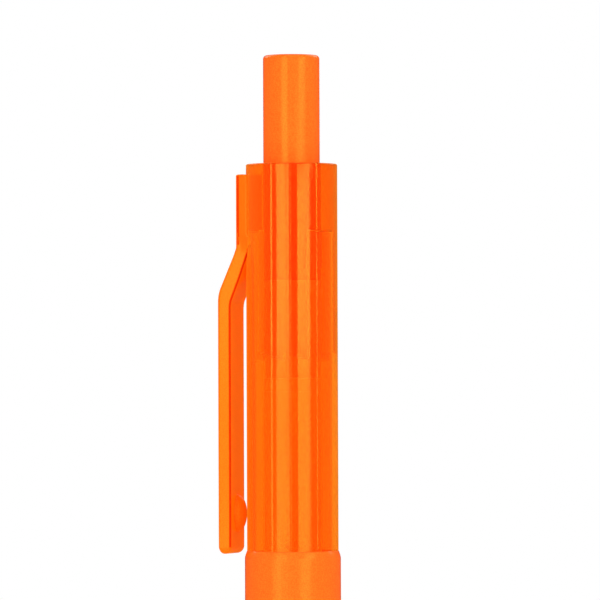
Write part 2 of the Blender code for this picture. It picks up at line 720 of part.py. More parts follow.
def build():
    empty_scene()
    axis = add_axis("pen_axis", (AXIS_X, 0, 0))
    clear = finish("clear_orange_plastic", CLEAR_ORANGE, 0.15)
    neon = finish("neon_orange_plastic", NEON_ORANGE, 0.3)
    deep = finish("cam_plastic", DEEP_ORANGE, 0.35)
    white = finish("natural_plastic", NATURAL_WHITE, 0.4)
    ink = finish("inked_fibre", INK_ORANGE, 0.9)
    felt = finish("inked_felt", INK_ORANGE, 0.95)
    rubber = finish("black_rubber", BLACK_RUBBER, 0.6)
    steel = finish("spring_steel", STEEL, 0.3, 1.0)
    make_upper_barrel(axis, clear)
    make_clip(axis, clear)
    make_button(axis, neon)
    make_cam(axis, deep)
    make_lower_barrel(axis, neon)
    make_nose(axis, neon)
    make_seal_tube(axis, white)
    make_gasket(axis, rubber)
    for name, side in (("left", -1), ("right", 1)):
        make_leaf(f"shutter_leaf_{name}", axis, side, white)
        make_pin(f"shutter_pin_{name}", axis, side, steel)
        make_shutter_spring(f"shutter_spring_{name}", axis, side, steel)
    make_holder(axis, white)
    make_nib(axis, felt)
    make_ring(axis, rubber)
    make_tube(axis, neon)
    make_reservoir(axis, ink)
    make_tail_plug(axis, neon)
    make_return_spring(axis, steel)


build()
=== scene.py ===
# %% [markdown]
# # A retractable highlighter in clear and neon orange plastic
# The pen stands on its nose with its button up. A frame of plain CAD solids gives every size and place.
# This lesson dresses that frame: it turns finer pieces round the pen's axis, gives each plastic, felt,
# rubber and steel part its own finish, and lights the pen in a small photo studio.

# %% Load the frame
from math import cos, dist, pi, radians, sin, sqrt, tan

import bmesh
import bpy
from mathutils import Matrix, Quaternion, Vector


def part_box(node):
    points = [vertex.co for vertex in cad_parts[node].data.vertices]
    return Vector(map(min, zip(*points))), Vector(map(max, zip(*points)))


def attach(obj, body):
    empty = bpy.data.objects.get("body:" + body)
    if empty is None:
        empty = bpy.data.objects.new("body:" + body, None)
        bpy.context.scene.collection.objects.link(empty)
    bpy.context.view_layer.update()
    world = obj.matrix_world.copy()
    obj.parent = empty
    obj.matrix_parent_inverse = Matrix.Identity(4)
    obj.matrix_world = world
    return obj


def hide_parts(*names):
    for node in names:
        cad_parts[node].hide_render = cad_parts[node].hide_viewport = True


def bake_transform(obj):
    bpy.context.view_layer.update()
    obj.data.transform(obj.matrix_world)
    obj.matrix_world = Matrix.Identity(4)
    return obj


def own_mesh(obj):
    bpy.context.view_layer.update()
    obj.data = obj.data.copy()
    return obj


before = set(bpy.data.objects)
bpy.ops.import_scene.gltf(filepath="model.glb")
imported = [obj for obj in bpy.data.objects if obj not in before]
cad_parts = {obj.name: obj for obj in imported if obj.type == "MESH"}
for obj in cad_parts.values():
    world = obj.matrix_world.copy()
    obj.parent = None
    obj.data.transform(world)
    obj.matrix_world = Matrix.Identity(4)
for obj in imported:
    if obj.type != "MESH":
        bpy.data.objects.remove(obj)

scene = bpy.context.scene
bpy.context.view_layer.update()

# %% [markdown]
# Every piece is round about one upright line, so that line is measured first, from the lower barrel.
# Heights come from the boxes of the CAD nodes. Radii and walls that no box shows are written here once.

# %% Measure the pen
MM = 0.001

barrel_low, barrel_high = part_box("lower_barrel")
axis_x = (barrel_low.x + barrel_high.x) / 2
lower_r = (barrel_high.x - barrel_low.x) / 2
shoulder_z = barrel_high.z
nose_top_z = barrel_low.z
upper_low, upper_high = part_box("upper_barrel")
upper_r = (upper_high.y - upper_low.y) / 2
barrel_top_z = upper_high.z
button_low, button_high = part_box("push_button")
fin_r = (button_high.y - button_low.y) / 2
print(f"axis at x = {axis_x / MM:.3f} mm, shoulder {shoulder_z / MM:.1f}, top {button_high.z / MM:.1f} mm")

button_r = 3.5 * MM
upper_wall = 0.75 * MM
lower_wall = 0.8 * MM
running_gap = 0.15 * MM
seated_gap = 0.06 * MM
end_gap = 0.3 * MM

# %% [markdown]
# ## Turned pieces
# Most pieces could be a modifier's screw or spin of a profile. A ring of columns does the same and more:
# each column is the profile at one angle, so a profile may change from angle to angle. That gives fins,
# rails, a toothed rim or a square boss as part of one closed skin, which clear plastic needs.

# %% Turn a profile round the pen
def even_angles(count):
    return [2 * pi * i / count for i in range(count)]


def supported(columns):
    """Adds points close to both ends of each long run, so that smooth shading stays flat along it."""
    count = len(columns[0])
    longest = [
        max(dist(column[i], column[(i + 1) % count]) for column in columns) for i in range(count)
    ]
    made = []
    for column in columns:
        points = []
        for i, (start, end) in enumerate(zip(column, column[1:] + column[:1])):
            points.append(start)
            if longest[i] > 1.0 * MM:
                share = min(0.06 * MM / max(dist(start, end), 1e-6), 0.3)
                for s in (share, 1 - share):
                    points.append((start[0] + (end[0] - start[0]) * s, start[1] + (end[1] - start[1]) * s))
        made.append(points)
    return made


def turn(name, profile_at, angles, sharp=radians(32)):
    """One closed body. profile_at(angle) gives a column of (radius, height) points, always as many."""
    columns = supported([profile_at(angle) for angle in angles])
    rows = len(columns[0])
    points = [
        (axis_x + radius * cos(angle), radius * sin(angle), height)
        for angle, column in zip(angles, columns)
        for radius, height in column
    ]
    faces = []
    for i in range(len(angles)):
        here, after = i * rows, (i + 1) % len(angles) * rows
        for row in range(rows):
            below = (row + 1) % rows
            faces.append((here + row, here + below, after + below, after + row))
    return closed_mesh(name, points, faces, sharp)


# %% Close and shade a mesh
def edge_faults(body):
    """Counts the edges that border a hole or join too many faces, and those that carry no face."""
    faces_each = [len(edge.link_faces) for edge in body.edges]
    return f"{sum(count not in (0, 2) for count in faces_each)} open and {faces_each.count(0)} loose edges"


def closed_mesh(name, points, faces, sharp):
    """Merges doubled points, drops faces with no area, and shades smooth up to the sharp angle."""
    mesh = bpy.data.meshes.new(name)
    mesh.from_pydata(points, [], faces)
    body = bmesh.new()
    body.from_mesh(mesh)
    bmesh.ops.remove_doubles(body, verts=body.verts, dist=1e-7)
    bmesh.ops.dissolve_degenerate(body, edges=body.edges, dist=1e-7)
    bmesh.ops.recalc_face_normals(body, faces=body.faces)
    faults = edge_faults(body)
    body.to_mesh(mesh)
    body.free()
    mesh.shade_smooth()
    mesh.set_sharp_from_angle(angle=sharp)
    piece = bpy.data.objects.new(name, mesh)
    scene.collection.objects.link(piece)
    print(f"{name}: {len(mesh.polygons)} faces, {faults}")
    return piece


def rounded_rim(radius, height, size, start, end, steps=6):
    """Points that round off a rim at this radius and height, between two angles in degrees.

    Angles from 0 to 90 round a top rim, and from -90 to 0 a bottom one.
    """
    middle_r = radius - size
    middle_z = height + size if min(start, end) < 0 else height - size
    turns = [radians(start + (end - start) * i / steps) for i in range(steps + 1)]
    return [(middle_r + size * cos(t), middle_z + size * sin(t)) for t in turns]


def dress(piece, material, body, slot, *nodes):
    """Gives a piece its finish, the CAD nodes it stands for, its material slot and the body it rides on. The
    slot argument is not used.
    """
    piece.data.materials.clear()
    piece.data.materials.append(material)
    if nodes:
        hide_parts(*nodes)
    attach(piece, body)
    return piece

# %% [markdown]
# ## Node groups
# Several finishes share effects, such as the flow marks and fine skin of moulded plastic. A shader node
# group holds each effect once, with named inputs, so every material can set its own amounts.

# %% Small helpers for shader nodes
def new_group(name, inputs, outputs):
    """A shader node group. Inputs are name: default, where a tuple means a colour. Outputs are name: kind."""
    group = bpy.data.node_groups.new(name, "ShaderNodeTree")
    for label, value in inputs.items():
        kind = "NodeSocketColor" if isinstance(value, tuple) else "NodeSocketFloat"
        socket = group.interface.new_socket(label, in_out="INPUT", socket_type=kind)
        socket.default_value = (*value, 1.0) if isinstance(value, tuple) else value
    for label, kind in outputs.items():
        group.interface.new_socket(label, in_out="OUTPUT", socket_type=kind)
    return group, group.nodes.new("NodeGroupInput").outputs, group.nodes.new("NodeGroupOutput").inputs


def add_node(tree, kind, inputs=None, **settings):
    """Adds a node, sets its options, and fills its inputs with values or with links from other sockets."""
    made = tree.nodes.new(kind)
    for option, value in settings.items():
        setattr(made, option, value)
    for label, value in (inputs or {}).items():
        if isinstance(value, bpy.types.NodeSocket):
            tree.links.new(value, made.inputs[label])
        else:
            made.inputs[label].default_value = value
    return made


def stretched_place(tree, scale):
    """Object coordinates stretched by three scales, so that a texture can run along the pen."""
    place = add_node(tree, "ShaderNodeTexCoord").outputs["Object"]
    return add_node(tree, "ShaderNodeMapping", {"Vector": place, "Scale": scale}).outputs["Vector"]


def object_axis(tree, axis):
    """One of the three object coordinates, by its letter."""
    place = add_node(tree, "ShaderNodeTexCoord").outputs["Object"]
    return add_node(tree, "ShaderNodeSeparateXYZ", {"Vector": place}).outputs[axis]


def noise(tree, vector, scale, detail=2.0, roughness=0.5):
    values = {"Vector": vector, "Scale": scale, "Detail": detail, "Roughness": roughness}
    return add_node(tree, "ShaderNodeTexNoise", values).outputs["Fac"]


def spread(tree, value, low, high, to_low=0.0, to_high=1.0):
    """Stretches a value from one range to another, and clamps it there."""
    values = {"Value": value, "From Min": low, "From Max": high, "To Min": to_low, "To Max": to_high}
    return add_node(tree, "ShaderNodeMapRange", values).outputs["Result"]


def blend_colours(tree, share, first, second, kind="MIX"):
    made = add_node(tree, "ShaderNodeMix", data_type="RGBA", blend_type=kind)
    for index, value in ((0, share), (6, first), (7, second)):
        if isinstance(value, bpy.types.NodeSocket):
            tree.links.new(value, made.inputs[index])
        elif isinstance(value, tuple):
            made.inputs[index].default_value = (*value, 1.0)
        else:
            made.inputs[index].default_value = value
    return made.outputs[2]


def maths(tree, operation, first, second):
    made = add_node(tree, "ShaderNodeMath", operation=operation)
    for index, value in ((0, first), (1, second)):
        if isinstance(value, bpy.types.NodeSocket):
            tree.links.new(value, made.inputs[index])
        else:
            made.inputs[index].default_value = value
    return made.outputs[0]


def vector_maths(tree, operation, first, second=(0, 0, 0), result="Vector"):
    values = {0: first, 1: second}
    return add_node(tree, "ShaderNodeVectorMath", values, operation=operation).outputs[result]

# %% [markdown]
# Moulded plastic is never one flat colour. The melt leaves faint flow marks along the pen, pigment
# gathers in tiny specks, and the steel of the mould leaves a fine skin. One group gives all three.

# %% Moulded plastic
def make_moulded_skin():
    inputs = {"Colour": (1.0, 0.2, 0.02), "Deep Colour": (1.0, 0.15, 0.01), "Roughness": 0.3, "Speck": 0.2}
    outputs = {"Colour": "NodeSocketColor", "Roughness": "NodeSocketFloat", "Height": "NodeSocketFloat"}
    group, given, out = new_group("moulded_skin", inputs, outputs)
    along = stretched_place(group, (1.0, 1.0, 0.06))
    place = stretched_place(group, (1.0, 1.0, 1.0))
    flow = spread(group, noise(group, along, 900.0, 3.0), 0.3, 0.7)
    speck = spread(group, noise(group, place, 6500.0, 1.0), 0.42, 0.62)
    fine = noise(group, place, 9000.0, 2.0, 0.6)
    deep_share = add_node(group, "ShaderNodeMath", operation="MULTIPLY_ADD")
    group.links.new(speck, deep_share.inputs[0])
    group.links.new(given["Speck"], deep_share.inputs[1])
    group.links.new(maths(group, "MULTIPLY", flow, 0.3), deep_share.inputs[2])
    colour = blend_colours(group, deep_share.outputs[0], given["Colour"], given["Deep Colour"])
    group.links.new(colour, out["Colour"])
    uneven = spread(group, noise(group, place, 1400.0, 3.0), 0.3, 0.7, -0.02, 0.03)
    group.links.new(maths(group, "ADD", given["Roughness"], uneven), out["Roughness"])
    group.links.new(fine, out["Height"])
    return group


moulded_skin = make_moulded_skin()
print("groups:", [group.name for group in bpy.data.node_groups])

# %% [markdown]
# Neon dye turns light that nobody sees into orange, so it looks brighter than plain plastic. A constant painted
# glow in the emission stands in for that, and a sheen brightens the limbs, where one looks through the most
# dye.

# %% A material around a group
def add_painted_glow(material, glow, sheen=None, painted_clip_light=None):
    """A constant painted glow, a sheen for the soft bright limbs, and a stronger painted glow on the side by
    the clip, as if the clip lit it.
    """
    tree = material.node_tree
    shader = tree.nodes["Principled BSDF"]
    shader.inputs["Emission Color"].default_value = (*glow, 1.0)
    shader.inputs["Emission Strength"].default_value = 1.0
    # Painted light: the emission is stronger on the side towards the clip.
    if painted_clip_light:
        share = spread(tree, object_axis(tree, "X"), axis_x + 1 * MM, axis_x - 3 * MM)
        tree.links.new(blend_colours(tree, share, glow, painted_clip_light), shader.inputs["Emission Color"])
    if sheen:
        shader.inputs["Sheen Weight"].default_value = 1.0
        shader.inputs["Sheen Roughness"].default_value = 0.5
        shader.inputs["Sheen Tint"].default_value = (*sheen, 1.0)


def material_with(name, group, inputs, shader_values, bump_strength, bump_distance):
    """A Principled material whose colour, roughness and relief come from a group with these inputs."""
    material = bpy.data.materials.new(name)
    material.use_nodes = True
    tree = material.node_tree
    shader = tree.nodes["Principled BSDF"]
    skin = add_node(tree, "ShaderNodeGroup", node_tree=group)
    for label, value in inputs.items():
        skin.inputs[label].default_value = (*value, 1.0) if isinstance(value, tuple) else value
    for label, value in shader_values.items():
        shader.inputs[label].default_value = (*value, 1.0) if isinstance(value, tuple) else value
    tree.links.new(skin.outputs["Colour"], shader.inputs["Base Color"])
    tree.links.new(skin.outputs["Roughness"], shader.inputs["Roughness"])
    relief = {"Height": skin.outputs["Height"], "Strength": bump_strength, "Distance": bump_distance}
    tree.links.new(add_node(tree, "ShaderNodeBump", relief).outputs["Normal"], shader.inputs["Normal"])
    material.diffuse_color = shader.inputs["Base Color"].default_value
    return material


NEON_TINT = (1.0, 0.6, 0.06)

neon_plastic = material_with(
    "neon_plastic",
    moulded_skin,
    {"Colour": (1.0, 0.166, 0.015), "Deep Colour": (1.0, 0.118, 0.01), "Roughness": 0.14, "Speck": 1.0},
    {
        "IOR": 1.5,
        "Specular IOR Level": 0.4,
        "Specular Tint": NEON_TINT,
    },
    0.12,
    0.02 * MM,
)
# Painted glow in the neon plastic's emission.
add_painted_glow(neon_plastic, (0.15, 0.014, 0.0))

# %% [markdown]
# Clear coloured plastic bends light. Light that crosses one wall takes the wall's colour once, and light
# that crosses the far wall too comes out deeper. Transmission with a tinted base colour does that.

# %% Clear orange plastic
def add_depth_colour(material, loss_per_mm):
    """Light loses this much red, green and blue on each millimetre inside the plastic."""
    most = max(loss_per_mm)
    kept = [1 - loss / most for loss in loss_per_mm]
    values = {"Color": (*kept, 1.0), "Density": most / MM}
    tree = material.node_tree
    volume = add_node(tree, "ShaderNodeVolumeAbsorption", values)
    tree.links.new(volume.outputs[0], tree.nodes["Material Output"].inputs["Volume"])


CLEAR_TINT = (1.0, 0.75, 0.09)

clear_plastic = material_with(
    "clear_plastic",
    moulded_skin,
    {"Colour": (1.0, 0.55, 0.032), "Deep Colour": (1.0, 0.33, 0.02), "Roughness": 0.05, "Speck": 1.0},
    {
        "IOR": 1.6,
        "Transmission Weight": 0.95,
        "Specular Tint": CLEAR_TINT,
    },
    0.05,
    0.01 * MM,
)
# Painted glow in the clear plastic's emission, stronger on the clip side.
add_painted_glow(clear_plastic, (0.1, 0.0, 0.0), (1.0, 0.34, 0.012), (0.12, 0.025, 0.001))
add_depth_colour(clear_plastic, (0.025, 0.29, 0.7))

# Painted shade: a dark line on the clip's edges, where refraction in the rounded corners darkens them.
clip_edge_plastic = material_with(
    "clip_edge_plastic",
    moulded_skin,
    {"Colour": (0.8, 0.04, 0.001), "Deep Colour": (0.75, 0.03, 0.001), "Roughness": 0.08, "Speck": 0.4},
    {"IOR": 1.5, "Specular IOR Level": 0.05, "Specular Tint": NEON_TINT},
    0.1,
    0.01 * MM,
)

clip_plastic = material_with(
    "clip_plastic",
    moulded_skin,
    {"Colour": (1.0, 0.19, 0.008), "Deep Colour": (1.0, 0.14, 0.004), "Roughness": 0.08, "Speck": 0.7},
    {
        "IOR": 1.5,
        "Specular IOR Level": 0.25,
        "Transmission Weight": 0.2,
        "Specular Tint": NEON_TINT,
    },
    0.1,
    0.01 * MM,
)
# Painted glow in the clip's emission.
add_painted_glow(clip_plastic, (0.25, 0.03, 0.0), (1.0, 0.38, 0.0))
add_depth_colour(clip_plastic, (0.01, 0.2, 0.5))

# %% [markdown]
# The inner parts are solid plastics: the cam in a deeper orange, the cartridge tube in pale natural
# plastic that the ink stains, and the shutter parts in plain natural white.

# %% Inner plastics
cam_plastic = material_with(
    "cam_plastic",
    moulded_skin,
    {"Colour": (1.0, 0.48, 0.08), "Deep Colour": (1.0, 0.4, 0.06), "Roughness": 0.35, "Speck": 0.3},
    {"IOR": 1.5, "Specular IOR Level": 0.4, "Specular Tint": NEON_TINT},
    0.12,
    0.02 * MM,
)
# Painted glow in the cam's emission.
add_painted_glow(cam_plastic, (0.25, 0.05, 0.0))
tube_plastic = material_with(
    "tube_plastic",
    moulded_skin,
    {"Colour": (1.0, 0.85, 0.55), "Deep Colour": (1.0, 0.78, 0.45), "Roughness": 0.3, "Speck": 0.3},
    {"IOR": 1.5, "Specular IOR Level": 0.4},
    0.12,
    0.02 * MM,
)
# Painted glow in the tube's emission.
add_painted_glow(tube_plastic, (0.18, 0.05, 0.0))
natural_plastic = material_with(
    "natural_plastic",
    moulded_skin,
    {"Colour": (0.82, 0.8, 0.74), "Deep Colour": (0.74, 0.71, 0.63), "Roughness": 0.38, "Speck": 0.3},
    {"IOR": 1.5, "Specular IOR Level": 0.4},
    0.12,
    0.02 * MM,
)
rubber = material_with(
    "rubber",
    moulded_skin,
    {"Colour": (0.022, 0.021, 0.02), "Deep Colour": (0.05, 0.048, 0.045), "Roughness": 0.58, "Speck": 0.6},
    {"IOR": 1.5, "Specular IOR Level": 0.35},
    0.35,
    0.03 * MM,
)

# %% [markdown]
# Felt and the ink store are bundles of fibres that lie along the pen. Noise stretched along the pen draws the
# fibres, and the gaps between them are deeper and get a painted darker shade.

# %% Fibres and wire
def make_fibres():
    inputs = {"Colour": (1.0, 0.3, 0.04), "Painted Gap Shade": (0.8, 0.12, 0.01), "Roughness": 0.9, "Fineness": 3000.0}
    outputs = {"Colour": "NodeSocketColor", "Roughness": "NodeSocketFloat", "Height": "NodeSocketFloat"}
    group, given, out = new_group("fibres", inputs, outputs)
    along = stretched_place(group, (1.0, 1.0, 0.12))
    bundle = spread(group, noise(group, along, given["Fineness"], 4.0, 0.6), 0.35, 0.65)
    stain = spread(group, noise(group, stretched_place(group, (1.0, 1.0, 1.0)), 500.0, 2.0), 0.35, 0.7)
    # The fibres keep their own colour, and the gaps get a painted darker shade.
    group.links.new(blend_colours(group, bundle, given["Painted Gap Shade"], given["Colour"]), out["Colour"])
    smoothed = maths(group, "MULTIPLY", stain, 0.12)
    group.links.new(maths(group, "SUBTRACT", given["Roughness"], smoothed), out["Roughness"])
    group.links.new(bundle, out["Height"])
    return group


def make_drawn_wire():
    inputs = {"Colour": (0.6, 0.6, 0.62), "Mark Colour": (0.42, 0.41, 0.42), "Roughness": 0.26}
    outputs = {"Colour": "NodeSocketColor", "Roughness": "NodeSocketFloat", "Height": "NodeSocketFloat"}
    group, given, out = new_group("drawn_wire", inputs, outputs)
    place = stretched_place(group, (1.0, 1.0, 5.0))
    marks = spread(group, noise(group, place, 2500.0, 4.0, 0.6), 0.4, 0.75)
    group.links.new(blend_colours(group, marks, given["Colour"], given["Mark Colour"]), out["Colour"])
    scratched = maths(group, "MULTIPLY", marks, 0.18)
    group.links.new(maths(group, "ADD", given["Roughness"], scratched), out["Roughness"])
    group.links.new(marks, out["Height"])
    return group


fibres, drawn_wire = make_fibres(), make_drawn_wire()
felt = material_with(
    "felt",
    fibres,
    {"Colour": (1.0, 0.34, 0.05), "Painted Gap Shade": (0.85, 0.14, 0.01), "Roughness": 0.92, "Fineness": 4200.0},
    {"Specular IOR Level": 0.2, "Sheen Weight": 0.25, "Sheen Roughness": 0.6},
    0.5,
    0.05 * MM,
)
ink_fibre = material_with(
    "ink_fibre",
    fibres,
    {"Colour": (1.0, 0.4, 0.08), "Painted Gap Shade": (0.9, 0.2, 0.02), "Roughness": 0.85, "Fineness": 2400.0},
    {"Specular IOR Level": 0.3},
    0.6,
    0.08 * MM,
)
steel = material_with(
    "steel",
    drawn_wire,
    {"Roughness": 0.24},
    {"Metallic": 1.0},
    0.15,
    0.01 * MM,
)
print("materials:", [material.name for material in bpy.data.materials])

# %% [markdown]
# ## The clear barrel
# The barrel is one moulding: a thin tube with a thick collar at the top, three rails inside for the
# cam, and a neck that screws into the lower barrel. Its profile jumps inward where a rail stands.

# %% Profile of the clear barrel
edge_round = 0.45 * MM
rim_round = 0.18 * MM
collar_length = 8.4 * MM
latch_travel = 10.0 * MM
rail_slant = 1.0 * MM

smooth_r = upper_r + 0.01 * MM
rim_z = barrel_top_z - 0.12 * MM
collar_z = barrel_top_z - collar_length
crown_z = button_low.z
rail_end_z = crown_z - latch_travel
neck_low_z = upper_low.z
bore_r = upper_r - upper_wall
collar_bore_r = button_r + running_gap
rail_r = collar_bore_r + seated_gap
neck_r = lower_r - lower_wall - seated_gap
neck_bore_r = fin_r + running_gap

RAILS = 3
rail_phase = radians(-48)
slot_angle = radians(44)
rail_sweep = 2 * pi / RAILS - slot_angle


def rail_share(angle):
    """How far an angle is across its rail, 0 to 1, or None in a slot."""
    turned = (angle - rail_phase) % (2 * pi / RAILS)
    return (turned - slot_angle) / rail_sweep if turned >= slot_angle else None


def rail_foot(share):
    """The two slanted notches on a rail's lower end."""
    share = 1 - 2 * min(share, 0.9999) % 1
    return rail_end_z + rail_slant * share


# Fine ridges that the mould leaves down the barrel: (angle in degrees, height)
RIDGES = ((-101.0, 0.07 * MM), (-76.2, 0.05 * MM), (-38.6, 0.06 * MM))
RIDGE_HALF = radians(2.8)


def ridge(angle):
    """Height of a ridge at this angle, a low triangle."""
    height = 0.0
    for middle, top in RIDGES:
        away = abs((angle - radians(middle) + pi) % (2 * pi) - pi)
        height = max(height, top * (1 - away / RIDGE_HALF))
    return height


def waver(angle):
    """The polishing of the mould leaves the wall very slightly uneven."""
    return 0.002 * MM * (sin(37 * angle) + sin(53 * angle + 1) + sin(71 * angle + 2))


def clear_profile(angle):
    share = rail_share(angle)
    skin_r = smooth_r + ridge(angle) + waver(angle)
    step_z = shoulder_z + 0.3 * MM
    inner, foot = (bore_r, rail_end_z + rail_slant) if share is None else (rail_r, rail_foot(share))
    fillet = 0.35 * MM if share is None else 0.02 * MM
    return [
        *rounded_rim(skin_r, rim_z, rim_round, 90, 0),
        (skin_r, step_z),
        (neck_r, step_z),
        (neck_r, neck_low_z),
        (neck_bore_r, neck_low_z),
        (neck_bore_r, shoulder_z - 1.2 * MM),
        (bore_r, shoulder_z - 0.1 * MM),
        (bore_r, foot),
        (inner, foot),
        *rounded_rim(inner, collar_z, fillet, 0, 90, steps=4),
        (collar_bore_r, collar_z),
        (collar_bore_r, rim_z - 0.1 * MM),
        (collar_bore_r + 0.1 * MM, rim_z),
    ]


# %% Turn the clear barrel
def with_edges(angles, edges, step=1e-6):
    """Adds a pair of angles on both sides of each edge, where a profile jumps."""
    pairs = [(edge + side) % (2 * pi) for edge in edges for side in (-step, step)]
    kept = [angle for angle in angles if all(abs(angle - pair) > max(step, 1e-3) for pair in pairs)]
    return sorted(kept + pairs)


rail_edges = []
for i in range(RAILS):
    start = rail_phase + i * 2 * pi / RAILS
    rail_edges += [start, start + slot_angle, start + slot_angle + rail_sweep / 2]
ridge_angles = [
    radians(middle) % (2 * pi) + RIDGE_HALF * side for middle, _ in RIDGES for side in (-1, -0.5, 0, 0.5, 1)
]
barrel_angles = [angle for angle in even_angles(180) if ridge(angle) == 0] + ridge_angles
clear_barrel = turn("clear_barrel", clear_profile, with_edges(sorted(barrel_angles), rail_edges, radians(0.4)))
dress(clear_barrel, clear_plastic, "barrel", "clear_plastic", "upper_barrel")

# %% [markdown]
# Light scatters on the sides of the rails instead of passing through. A mask by radius and height finds them in
# the one closed skin, and gives them a rougher finish and a painted glow that stands in for the scattered
# light.

# %% Frost the sides of the rails and paint a glow on them
def frost_with_painted_glow(material, near, far, low, high, roughness, painted_frost_glow):
    """Sets a rougher finish, and a painted glow in the emission, where the skin lies between two radii and two
    heights.
    """
    tree = material.node_tree
    place = add_node(tree, "ShaderNodeTexCoord").outputs["Object"]
    away = vector_maths(tree, "SUBTRACT", place, (axis_x, 0, 0))
    flat = vector_maths(tree, "MULTIPLY", away, (1, 1, 0))
    radius = vector_maths(tree, "LENGTH", flat, result="Value")
    height = object_axis(tree, "Z")
    soft = 0.02 * MM
    mask = 1.0
    for value, limit, past in (
        (radius, near, near + soft),
        (radius, far, far - soft),
        (height, low, low + soft),
        (height, high, high - soft),
    ):
        mask = maths(tree, "MULTIPLY", mask, spread(tree, value, limit, past))
    shader = tree.nodes["Principled BSDF"]
    skin = shader.inputs["Roughness"].links[0].from_socket
    frosted = maths(tree, "MAXIMUM", skin, maths(tree, "MULTIPLY", mask, roughness))
    tree.links.new(frosted, shader.inputs["Roughness"])
    # Painted light: inside the mask the emission is blended towards the painted glow colour.
    glow = shader.inputs["Emission Color"]
    before = glow.links[0].from_socket if glow.links else tuple(glow.default_value)[:3]
    tree.links.new(blend_colours(tree, mask, before, painted_frost_glow), glow)


rail_sides = (rail_r + 0.02 * MM, bore_r - 0.02 * MM, shoulder_z, collar_z - 0.1 * MM)
# Painted glow on the sides of the rails.
frost_with_painted_glow(clear_plastic, *rail_sides, 0.5, (0.3, 0.11, 0.004))

# %% [markdown]
# ## The pocket clip
# The clip grows out of a square boss on the barrel, slopes away from it and runs straight down to a rounded
# bump that grips cloth. It is swept: one rounded section moves along the clip through a list of stations, and
# each station says where the outer and inner face are. On the boss the inner face follows the round barrel.

# %% Outline of the clip
clip_low, clip_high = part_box("pocket_clip")
clip_half = (clip_high.y - clip_low.y) / 2
clip_out = axis_x - clip_low.x
clip_thick = 1.64 * MM
clip_corner = 0.22 * MM
clip_foot_round = 1.0 * MM
root_drop = 1.4 * MM
root_height = 8.9 * MM
slope_height = 6.9 * MM
clip_bump_drop = 43.75 * MM

clip_in = clip_out - clip_thick
root_out = axis_x - upper_low.x
root_top_z = barrel_top_z - root_drop
pivot_z = root_top_z - root_height
bend_z = pivot_z - slope_height
clip_bottom_z = clip_low.z - 0.27 * MM


def line_through(points, height):
    """Radius at a height on a line of (height, radius) points that run down the clip."""
    for (high, near), (low, far) in zip(points, points[1:]):
        if low <= height <= high:
            return near + (far - near) * (high - height) / (high - low)
    return points[0][1] if height > points[0][0] else points[-1][1]


boss_in = upper_r - 0.15 * MM
outer_line = [
    (pivot_z - 0.3 * MM, root_out),
    (pivot_z - 1.3 * MM, root_out + 0.36 * MM),
    (bend_z + 1.4 * MM, clip_out - 0.24 * MM),
    (bend_z + 0.7 * MM, clip_out - 0.06 * MM),
    (bend_z, clip_out),
    (clip_bottom_z, clip_out),
]
inner_line = [
    (pivot_z + 1.4 * MM, boss_in),
    (pivot_z + 0.2 * MM, 4.5 * MM),
    (pivot_z - 3.8 * MM, 5.89 * MM),
    (bend_z + 1.3 * MM, clip_in - 0.62 * MM),
    (bend_z - 0.1 * MM, clip_in - 0.08 * MM),
    (bend_z - 0.8 * MM, clip_in),
    (clip_bottom_z, clip_in),
]


def clip_station(height):
    """Height, outer radius, inner radius, and how much the inner face follows the barrel, 0 to 1."""
    on_barrel = min(max((height - pivot_z + 1.0 * MM) / (1.8 * MM), 0), 1)
    return height, line_through(outer_line, height), line_through(inner_line, height), on_barrel


# %% Sweep the clip
def clip_section(height, out, inside, on_barrel, inset=0.0):
    """A rounded rectangle across the clip. It flares a little where the boss meets the barrel."""
    half, out = clip_half - inset, out - inset
    corner = clip_corner
    turns = [radians(18 * i) for i in range(6)]
    points = [(out - corner + corner * sin(t), half - corner + corner * cos(t)) for t in reversed(turns)]
    depth = out - corner - inside - corner
    flare = 0.35 * MM * on_barrel
    points += [(out - corner - depth * i / 8, half + flare * (i / 8) ** 3) for i in range(1, 8)]
    points += [
        (inside + inset + corner - corner * sin(t), half + flare - corner + corner * cos(t)) for t in turns
    ]
    points += [(inside + inset, (half - corner) * (1 - i / 8)) for i in range(1, 9)]
    ring = points + [(r, -y) for r, y in reversed(points[:-1])]
    placed = []
    for r, y in ring:
        share = min(max((out - r) / (out - inside), 0), 1)
        dip = (sqrt(max(upper_r**2 - y**2, 0)) - upper_r) * on_barrel * share**2
        placed.append((axis_x - r - dip, y, height))
    return placed


def clip_heights():
    """Stations close together at the ends and bends, further apart on straight runs."""
    marks = [
        (root_top_z, 1.0),
        (pivot_z + 1.6 * MM, 0.25),
        (bend_z - 1.5 * MM, 1.5),
        (clip_bottom_z + 1.2 * MM, 0),
    ]
    heights = []
    for (top, step), (bottom, _) in zip(marks, marks[1:]):
        count = max(round((top - bottom) / (step * MM)), 1)
        heights += [top - (top - bottom) * i / count for i in range(count)]
    return heights


rings = []
for i in range(5):
    lean = radians(22.5 * i)
    inset = clip_corner * (1 - sin(lean))
    rings.append(clip_section(root_top_z - clip_corner * (1 - cos(lean)), root_out, boss_in, 1.0, inset))
rings += [clip_section(*clip_station(height)) for height in clip_heights()[1:]]
for i in range(1, 9):
    lean = radians(90 * i / 8)
    height = clip_bottom_z + clip_foot_round * (1 - sin(lean))
    rolled_in = 1 - cos(lean)
    out, inside = clip_out - 0.5 * MM * rolled_in, clip_in + 0.63 * MM * rolled_in
    rings.append(clip_section(height, out, inside, 0.0, 0.2 * MM * rolled_in))


def loft(name, rings, sharp):
    """A closed skin through rings of points, with a flat cap on each end."""
    count = len(rings[0])
    points = [point for ring in rings for point in ring]
    faces = [tuple(range(count)), tuple(reversed(range(len(points) - count, len(points))))]
    for i in range(len(rings) - 1):
        for k in range(count):
            here, beside = i * count + k, i * count + (k + 1) % count
            faces.append((here, here + count, beside + count, beside))
    return closed_mesh(name, points, faces, sharp)


clip_arm = loft("clip_arm", rings, radians(40))
